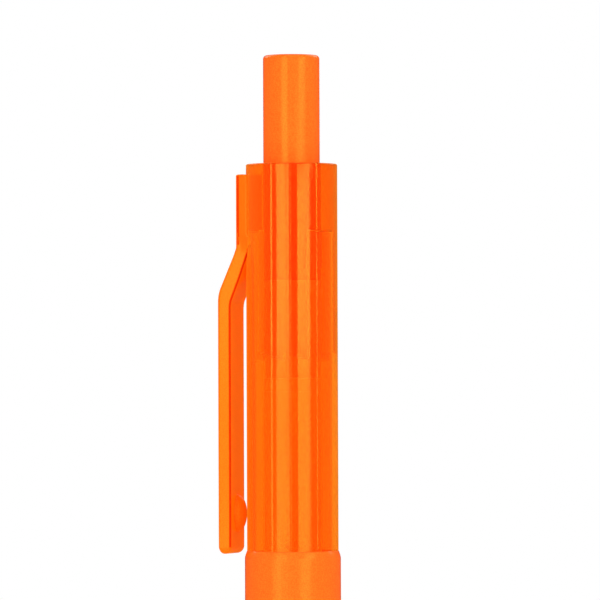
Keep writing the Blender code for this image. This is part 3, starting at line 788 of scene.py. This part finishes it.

# %% [markdown]
# The bump is a squashed ball, joined on with a boolean. The clip is thick and clear: its boss gets a painted
# darker shade, the foot of the boss a rougher finish with a painted glow, and some of its long edges a painted
# dark line, standing in for how light passes through the thick clear plastic.

# %% Paint a darker shade on the boss
def paint_shade_above(material, height, colour):
    """Painted shade: above this height the boss gets a darker colour, standing in for light lost in the thicker
    plastic joined to the barrel.
    """
    tree = material.node_tree
    shader = tree.nodes["Principled BSDF"]
    mask = spread(tree, object_axis(tree, "Z"), height - 0.4 * MM, height + 0.4 * MM, 0.0, 0.9)
    skin = shader.inputs["Base Color"].links[0].from_socket
    tree.links.new(blend_colours(tree, mask, skin, colour), shader.inputs["Base Color"])


# %% Add the bump
CLIP_BUMP_HALVES = Vector((1.15 * MM, 1.5 * MM, 2.35 * MM))

bump_mesh = bpy.data.meshes.new("clip_bump")
bump = bmesh.new()
bmesh.ops.create_uvsphere(bump, u_segments=48, v_segments=24, radius=1)
bmesh.ops.scale(bump, verts=bump.verts, vec=CLIP_BUMP_HALVES)
bmesh.ops.translate(bump, verts=bump.verts, vec=(axis_x - clip_in, 0, barrel_top_z - clip_bump_drop))
bump.to_mesh(bump_mesh)
bump.free()
clip_bump = bpy.data.objects.new("clip_bump", bump_mesh)
scene.collection.objects.link(clip_bump)
join = clip_arm.modifiers.new("join", "BOOLEAN")
join.operation, join.solver, join.object = "UNION", "EXACT", clip_bump
bpy.context.view_layer.update()
joined = bpy.data.meshes.new_from_object(clip_arm.evaluated_get(bpy.context.evaluated_depsgraph_get()))
clip_arm.modifiers.clear()
clip_arm.data = joined
bpy.data.objects.remove(clip_bump)
joined.shade_smooth()
joined.set_sharp_from_angle(angle=radians(40))

# %% Finish the clip
def is_painted_dark_edge(face):
    """True where the painted dark line goes: on the sides of the clip, along the arm's inner edge and the
    boss's outer edge.
    """
    middle = face.center
    reach = axis_x - middle.x
    if abs(middle.y) <= clip_half - clip_corner:
        return False
    if not clip_bottom_z + 1.5 * MM < middle.z < root_top_z - clip_corner:
        return False
    if middle.z > pivot_z:
        return root_out - clip_corner - 0.2 * MM < reach < root_out - clip_corner
    return reach < line_through(inner_line, middle.z) + clip_corner


joined.materials.clear()
# Painted glow and a rougher finish on the foot of the boss, where it is seen through the barrel.
boss_foot = (3 * MM, upper_r + 0.02 * MM, pivot_z - 3 * MM, barrel_top_z)
frost_with_painted_glow(clip_plastic, *boss_foot, 0.3, (0.5, 0.16, 0.008))
# Painted darker shade on the boss above the pivot.
paint_shade_above(clip_plastic, pivot_z, (1.0, 0.14, 0.006))
joined.materials.append(clip_plastic)
joined.materials.append(clip_edge_plastic)
# These faces get the painted dark edge.
for face in joined.polygons:
    if is_painted_dark_edge(face):
        face.material_index = 1
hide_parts("pocket_clip")
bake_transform(clip_arm)
after_join = bmesh.new()
after_join.from_mesh(joined)
print("clip_arm with its bump:", len(joined.polygons), "faces,", edge_faults(after_join))
after_join.free()

# %% [markdown]
# ## The push button
# A long cap, closed at the top. Its lower rim is a crown of six teeth that turns the cam, behind a thin
# straight skirt, and three fins keep it straight in the slots between the rails.

# %% Turn the push button
TOOTH_HEIGHT = 0.9 * MM
fin_play = radians(5)
button_fin_height = 4.5 * MM
button_wall = 0.9 * MM
button_roof = 1.2 * MM
skirt_wall = 0.3 * MM


def tooth(angle):
    share = (angle - rail_phase) / (2 * pi) * 2 * RAILS % 1
    return TOOTH_HEIGHT * (1 - abs(2 * share - 1))


def on_fin(angle):
    turned = (angle - rail_phase) % (2 * pi / RAILS)
    return fin_play < turned < slot_angle - fin_play


fin_edges = [
    rail_phase + i * 2 * pi / RAILS + play for i in range(RAILS) for play in (fin_play, slot_angle - fin_play)
]
button_top_z = button_high.z
fin_top_z = collar_z - end_gap
fin_low_z = fin_top_z - button_fin_height


def button_profile(angle):
    skin_r = button_r + 0.03 * MM
    reach = fin_r if on_fin(angle) else skin_r
    bore = button_r - button_wall
    rim = crown_z + tooth(angle) + 0.02 * MM
    return [
        (0, button_top_z),
        *rounded_rim(skin_r, button_top_z, edge_round, 90, 0),
        (skin_r, fin_top_z),
        (reach, fin_top_z),
        (reach, fin_low_z),
        (skin_r, fin_low_z),
        (skin_r, crown_z),
        (button_r - skirt_wall, crown_z),
        (button_r - skirt_wall, rim),
        (bore, rim),
        (bore, button_top_z - button_roof),
        (0, button_top_z - button_roof),
    ]


button_cap = turn("button_cap", button_profile, with_edges(even_angles(120), fin_edges))
dress(button_cap, neon_plastic, "button", "neon_plastic", "push_button")

# %% [markdown]
# ## The cam
# The cam is pushed and turned by the button's crown. Its own six teeth fit the crown, its neck slides in
# the button, and its three long fins catch under the slanted ends of the rails.

# %% Turn the cam
cam_low, cam_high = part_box("rotary_cam")
cam_r = button_r - running_gap
cam_neck_r = button_r - button_wall - running_gap
post_r = 1.5 * MM
post_height = 3.0 * MM
cam_fin_height = 7.0 * MM
cam_roof_z = cam_low.z + post_height + end_gap
cam_foot_z = cam_low.z - 0.25 * MM


def cam_profile(angle):
    fin = on_fin(angle)
    reach = fin_r if fin else cam_r
    share = ((angle - rail_phase) % (2 * pi / RAILS) - fin_play) / (slot_angle - 2 * fin_play)
    fin_top = crown_z - rail_slant * share if fin else crown_z - 1.0 * MM
    teeth_r = button_r - skirt_wall - 0.05 * MM
    rim = crown_z - end_gap + tooth(angle)
    fin_foot = crown_z - cam_fin_height
    return [
        (0, cam_high.z),
        (cam_neck_r - edge_round, cam_high.z),
        (cam_neck_r, cam_high.z - edge_round),
        (cam_neck_r, rim),
        (teeth_r, rim),
        (teeth_r, crown_z - 0.05 * MM),
        (cam_r, crown_z - 0.05 * MM) if not fin else (cam_r, fin_top),
        (reach, fin_top),
        (reach, fin_foot),
        (cam_r, fin_foot),
        (cam_r, cam_foot_z + 0.03 * MM),
        (cam_r - 0.03 * MM, cam_foot_z),
        (post_r + running_gap, cam_foot_z),
        (post_r + running_gap, cam_roof_z),
        (0, cam_roof_z + 0.8 * MM),
    ]


feed_cam = turn("feed_cam", cam_profile, with_edges(even_angles(120), fin_edges))
dress(feed_cam, cam_plastic, "cam", "cam_plastic", "rotary_cam")

# %% [markdown]
# ## The ink cartridge
# A thin tube of natural plastic holds the ink. Its tail plug has a broad head and a post that the cam
# turns on.

# %% Turn the tube and the tail plug
tube_low, tube_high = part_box("cartridge_tube")
tail_low, tail_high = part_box("cartridge_tail_plug")
tube_r = (tube_high.y - tube_low.y) / 2
tube_wall = 0.5 * MM
tube_bore_r = tube_r - tube_wall
tail_head_height = 1.6 * MM


def tube_profile(angle):
    top_z = tube_high.z + 0.25 * MM
    return [
        (tube_bore_r, top_z),
        (tube_bore_r, tube_low.z),
        *rounded_rim(tube_r, tube_low.z, 0.15 * MM, -90, 0, steps=3),
        *rounded_rim(tube_r, top_z, 0.05 * MM, 0, 90, steps=2),
    ]


def tail_profile(angle):
    head_top = tail_high.z - post_height
    head_low = head_top - tail_head_height
    plug_r = tube_bore_r - seated_gap
    return [
        (0, tail_high.z),
        *rounded_rim(post_r, tail_high.z, 0.2 * MM, 90, 0, steps=3),
        (post_r, head_top),
        *rounded_rim(tube_r, head_top, 0.06 * MM, 90, 0, steps=4),
        (tube_r, head_low),
        (plug_r, head_low),
        (plug_r, tail_low.z + 0.3 * MM),
        (plug_r - 0.3 * MM, tail_low.z),
        (0, tail_low.z),
    ]


ink_tube = turn("ink_tube", tube_profile, even_angles(96))
dress(ink_tube, tube_plastic, "cartridge", "tube_plastic", "cartridge_tube")
tail_plug = turn("tail_plug", tail_profile, even_angles(96))
dress(tail_plug, tube_plastic, "cartridge", "tube_plastic", "cartridge_tail_plug")

# %% [markdown]
# ## The felt nib
# An oval rod of pressed felt. Two bevels meet in a rounded chisel edge, which slants across the wide side.
# Its end is a height at every place across the rod, so the same turning makes it.

# %% Turn the felt nib
nib_low, nib_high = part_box("felt_nib")
nib_half_x = (nib_high.x - nib_low.x) / 2
nib_half_y = (nib_high.y - nib_low.y) / 2
nib_bevel = 3.4 * MM
nib_slant = 1.3 * MM


def nib_end(x, y, share):
    """Height of the felt's end above its lowest point."""
    ridge = 0.22 * MM
    slope = nib_bevel / (nib_half_x - 0.2 * MM)
    across = (sqrt(x**2 + ridge**2) - ridge) * slope * 0.92
    along = nib_slant * (0.5 - y / nib_half_y / 2)
    return across + along + 0.25 * MM * share**6


def nib_profile(angle):
    reach = 1 / sqrt((cos(angle) / nib_half_x) ** 2 + (sin(angle) / nib_half_y) ** 2)
    shares = [i / 12 for i in range(13)]
    end = [(reach * s, nib_low.z + nib_end(reach * s * cos(angle), reach * s * sin(angle), s)) for s in shares]
    return [(0, nib_high.z), (reach, nib_high.z), *reversed(end)]


felt_chisel = turn("felt_chisel", nib_profile, even_angles(72), sharp=radians(60))
dress(felt_chisel, felt, "cartridge", "felt", "felt_nib")

# %% [markdown]
# ## The lower barrel and the nose
# A plain opaque tube. Its shoulder rolls in where it meets the clear barrel. The nose cone carries the
# same line on, swells gently and ends in a rounded rim round the mouth.

# %% Turn the lower barrel
def lower_profile(angle):
    bore = lower_r - lower_wall
    top_z = shoulder_z + 0.27 * MM
    slope_in, slope_down = lower_r - smooth_r - 0.03 * MM, 0.9 * MM
    bow = [i / 8 for i in range(9)]
    return [
        (bore, top_z),
        (bore, nose_top_z),
        (lower_r - 0.1 * MM, nose_top_z),
        (lower_r, nose_top_z + 0.1 * MM),
        *[(lower_r - slope_in * s**1.4, top_z - slope_down * (1 - s)) for s in bow],
    ]


lower_tube = turn("lower_tube", lower_profile, even_angles(120))
dress(lower_tube, neon_plastic, "barrel", "neon_plastic", "lower_barrel")

# %% Turn the nose cone
nose_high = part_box("nose_cone")[1]
nose_joint_z = nose_top_z - end_gap
nose_face_r = 4.0 * MM
nose_shoulder_r = 4.95 * MM
mouth_r = 2.6 * MM
mouth_lip = 0.8 * MM
rim_height = 1.35 * MM
nose_bore_r = 4.65 * MM
nose_cavity_r = 4.25 * MM
nose_step_z = 24.0 * MM
spigot_bevel = 0.2 * MM


def nose_profile(angle):
    swell = lower_r - nose_shoulder_r
    rim = nose_shoulder_r - nose_face_r
    shares = [i / 24 for i in range(25)]
    rolled = [radians(-90 + 10 * i) for i in range(9)]
    return [
        (mouth_r, 0.5 * edge_round),
        (mouth_r + 0.15 * edge_round, 0.15 * edge_round),
        (mouth_r + 0.5 * edge_round, 0),
        *[(nose_face_r + rim * cos(t), rim_height * (1 + sin(t))) for t in rolled],
        *[(lower_r - swell * (1 - s) ** 1.7, rim_height + (nose_joint_z - rim_height) * s) for s in shares],
        (neck_r, nose_joint_z),
        (neck_r, nose_high.z - spigot_bevel),
        (neck_r - spigot_bevel, nose_high.z),
        (nose_bore_r, nose_high.z),
        (nose_bore_r, nose_step_z),
        (nose_cavity_r, nose_step_z),
        (nose_cavity_r, mouth_lip),
        (mouth_r, mouth_lip),
    ]


nose = turn("nose", nose_profile, even_angles(120))
dress(nose, neon_plastic, "barrel", "neon_plastic", "nose_cone")

# %% [markdown]
# ## The return spring
# A coil of steel wire stands on the chamber and pushes the cartridge back up. It sits round the nib's holder,
# where nobody looks, so a plain helix is enough. The real spring shortens when the button goes down; here it
# rides on the barrel as one piece.

# %% Wind the return spring
WIRE_R = 0.25 * MM
COIL_TURNS = 11
PER_TURN, SIDES = 32, 10
spring_low, spring_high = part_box("return_spring")


def wind_spring():
    """A round wire round the pen's axis. Its two ends are capped."""
    coil_r = (spring_high.x - spring_low.x) / 2 - WIRE_R
    steps = COIL_TURNS * PER_TURN
    climb = (spring_high.z - spring_low.z - 2 * WIRE_R) / steps
    points = []
    for i in range(steps + 1):
        angle, middle_z = 2 * pi * i / PER_TURN, spring_low.z + WIRE_R + climb * i
        for lean in even_angles(SIDES):
            radius = coil_r + WIRE_R * cos(lean)
            points.append((axis_x + radius * cos(angle), radius * sin(angle), middle_z + WIRE_R * sin(lean)))
    faces = [
        (i * SIDES + k, i * SIDES + (k + 1) % SIDES, (i + 1) * SIDES + (k + 1) % SIDES, (i + 1) * SIDES + k)
        for i in range(steps)
        for k in range(SIDES)
    ]
    faces += [tuple(range(SIDES)), tuple(steps * SIDES + k for k in range(SIDES))]
    return closed_mesh("coil_spring", points, faces, radians(50))


coil_spring = wind_spring()
dress(coil_spring, steel, "barrel", "steel", "return_spring")
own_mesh(coil_spring)

# %% [markdown]
# ## Parts that stay as they are
# The airtight chamber, the shutter with its small springs, the nib's holder and the rubber parts keep
# their CAD shapes, which are right. They only need their finishes.

# %% Finish the inner parts
finishes = {
    natural_plastic: ["seal_tube", "nib_holder", "shutter_leaf_left", "shutter_leaf_right"],
    rubber: ["shutter_gasket", "chamber_o_ring"],
    ink_fibre: ["ink_reservoir"],
    steel: ["shutter_pin_left", "shutter_pin_right", "shutter_spring_left", "shutter_spring_right"],
}
for finish, names in finishes.items():
    for name in names:
        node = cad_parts[name]
        node.data.materials.clear()
        node.data.materials.append(finish)
        node.data.shade_smooth()
        node.data.set_sharp_from_angle(angle=radians(35))
print("dressed CAD parts:", sum(len(names) for names in finishes.values()))

# %% [markdown]
# ## Studio
# A small photo studio: a pale room, two stacks of soft strips in front, a soft panel above and two
# behind. The camera sees plain white round the pen. Mirrored rays see a dim room and a dim floor, so
# that the strips stand out in the gloss, and white only in a small patch behind the pen.

# %% Camera
CAMERA_AZIMUTH = radians(17)
CAMERA_DISTANCE = 700 * MM
EYE_HEIGHT = 101 * MM
AIM_HEIGHT = 113.4 * MM
AIM_RIGHT = 1.0 * MM
VIEW_WIDTH = 75 * MM
CAMERA_ROLL = radians(-0.2)

toward_camera = Vector((sin(CAMERA_AZIMUTH), -cos(CAMERA_AZIMUTH), 0))
rightward = Vector((cos(CAMERA_AZIMUTH), sin(CAMERA_AZIMUTH), 0))
camera_data = bpy.data.cameras.new("camera")
camera = bpy.data.objects.new("camera", camera_data)
scene.collection.objects.link(camera)
scene.camera = camera
aim = Vector((axis_x, 0, AIM_HEIGHT)) + rightward * AIM_RIGHT
camera.location = Vector((aim.x, aim.y, EYE_HEIGHT)) + toward_camera * CAMERA_DISTANCE
camera_data.sensor_width = 36
camera_data.lens = camera_data.sensor_width / 2 / (VIEW_WIDTH / 2 / CAMERA_DISTANCE)
camera_data.clip_start = 10 * MM
camera.rotation_mode = "QUATERNION"
look = (aim - camera.location).to_track_quat("-Z", "Y")
camera.rotation_quaternion = look @ Quaternion((0, 0, 1), CAMERA_ROLL)

# %% Room and lamps
scene.view_settings.view_transform = "Standard"
world = bpy.data.worlds.new("studio_room")
scene.world = world
world.use_nodes = True
ROOM_LEVEL = 0.5
GLOSSY_LEVEL = 0.05
room = world.node_tree
for made in list(room.nodes):
    room.nodes.remove(made)
paths = add_node(room, "ShaderNodeLightPath").outputs
clean_path = maths(room, "LESS_THAN", paths["Diffuse Depth"], 0.5)
straight = maths(room, "MAXIMUM", paths["Is Camera Ray"], paths["Is Transmission Ray"])
through = maths(room, "MULTIPLY", straight, clean_path)
seen = spread(room, through, 0.0, 1.0, ROOM_LEVEL, 1.0)
not_through = maths(room, "SUBTRACT", 1.0, paths["Is Transmission Ray"])
mirrored = maths(room, "MULTIPLY", paths["Is Glossy Ray"], not_through)
heading = add_node(room, "ShaderNodeTexCoord").outputs["Generated"]
behind = vector_maths(room, "DOT_PRODUCT", heading, -toward_camera, "Value")
reflected = spread(room, behind, cos(radians(7)), cos(radians(3)), GLOSSY_LEVEL, 1.0)
level = spread(room, mirrored, 0.0, 1.0, seen, reflected)
backdrop = add_node(room, "ShaderNodeBackground", {"Color": (1, 1, 1, 1), "Strength": level})
add_node(room, "ShaderNodeOutputWorld", {"Surface": backdrop.outputs[0]})


def add_panel(name, azimuth, elevation, distance, width, height, level, middle=90 * MM):
    """A soft lamp that faces the pen. The level is its brightness beside plain white."""
    lamp = bpy.data.lights.new(name, "AREA")
    lamp.shape = "RECTANGLE"
    lamp.size, lamp.size_y = width, height
    lamp.energy = level * pi * width * height
    panel = bpy.data.objects.new(name, lamp)
    scene.collection.objects.link(panel)
    turned, raised = CAMERA_AZIMUTH + radians(azimuth), radians(elevation)
    away = Vector((sin(turned) * cos(raised), -cos(turned) * cos(raised), sin(raised)))
    panel.location = Vector((axis_x, 0, middle)) + away * distance
    panel.rotation_mode = "QUATERNION"
    panel.rotation_quaternion = away.to_track_quat("Z", "Y")


# Name: start and end in degrees round from the camera, low and high edge in millimetres, level
STRIPS = {
    "left_high": (-41, -16.5, 165, 640, 3.8),
    "left_upper": (-37.2, -13.2, 112, 165, 4.8),
    "left_lower": (-39.5, -13.2, 56, 112, 2.9),
    "left_low": (-50, -28, -460, 56, 3.8),
    "right_high": (31, 57, 165, 640, 3.8),
    "right_upper": (15, 45.5, 112, 165, 4.8),
    "right_lower": (15, 45.5, 56, 112, 2.9),
    "right_low": (20, 41, -460, 56, 3.8),
}
STRIP_DISTANCE = 0.8
PANEL_DISTANCE = 0.9
PANEL_SIDE = 0.6
for name, (start, end, low, high, level) in STRIPS.items():
    width = 2 * STRIP_DISTANCE * tan(radians(end - start) / 2)
    height, middle = (high - low) * MM, (low + high) / 2 * MM
    add_panel(name, (start + end) / 2, 0, STRIP_DISTANCE, width, height, level, middle)
for name, azimuth, elevation, level in (
    ("top_panel", 0, 75, 1.2),
    ("back_left", -130, 38, 2.0),
    ("back_right", 130, 38, 2.0),
):
    add_panel(name, azimuth, elevation, PANEL_DISTANCE, PANEL_SIDE, PANEL_SIDE, level)

# %% The floor
FLOOR_RADIUS = 1.0
FADE_START = 0.35

floor_mesh = bpy.data.meshes.new("floor")
floor = bpy.data.objects.new("floor", floor_mesh)
disc = bmesh.new()
bmesh.ops.create_circle(disc, cap_ends=True, segments=96, radius=FLOOR_RADIUS)
disc.to_mesh(floor_mesh)
disc.free()
scene.collection.objects.link(floor)
pale = bpy.data.materials.new("pale_floor")
pale.use_nodes = True
tree = pale.node_tree
shader = tree.nodes["Principled BSDF"]
shader.inputs["Roughness"].default_value = 0.8
underside = add_node(tree, "ShaderNodeNewGeometry").outputs["Backfacing"]
from_middle = vector_maths(tree, "LENGTH", stretched_place(tree, (1, 1, 1)), result="Value")
fade = spread(tree, from_middle, FADE_START, FLOOR_RADIUS, 1.0, 0.0)
top_only = maths(tree, "SUBTRACT", 1.0, underside)
tree.links.new(maths(tree, "MULTIPLY", top_only, fade), shader.inputs["Alpha"])
mirror_ray = add_node(tree, "ShaderNodeLightPath").outputs["Is Glossy Ray"]
floor_colour = blend_colours(tree, mirror_ray, (0.9, 0.9, 0.9), (0.05, 0.05, 0.05))
tree.links.new(floor_colour, shader.inputs["Base Color"])
floor_mesh.materials.append(pale)
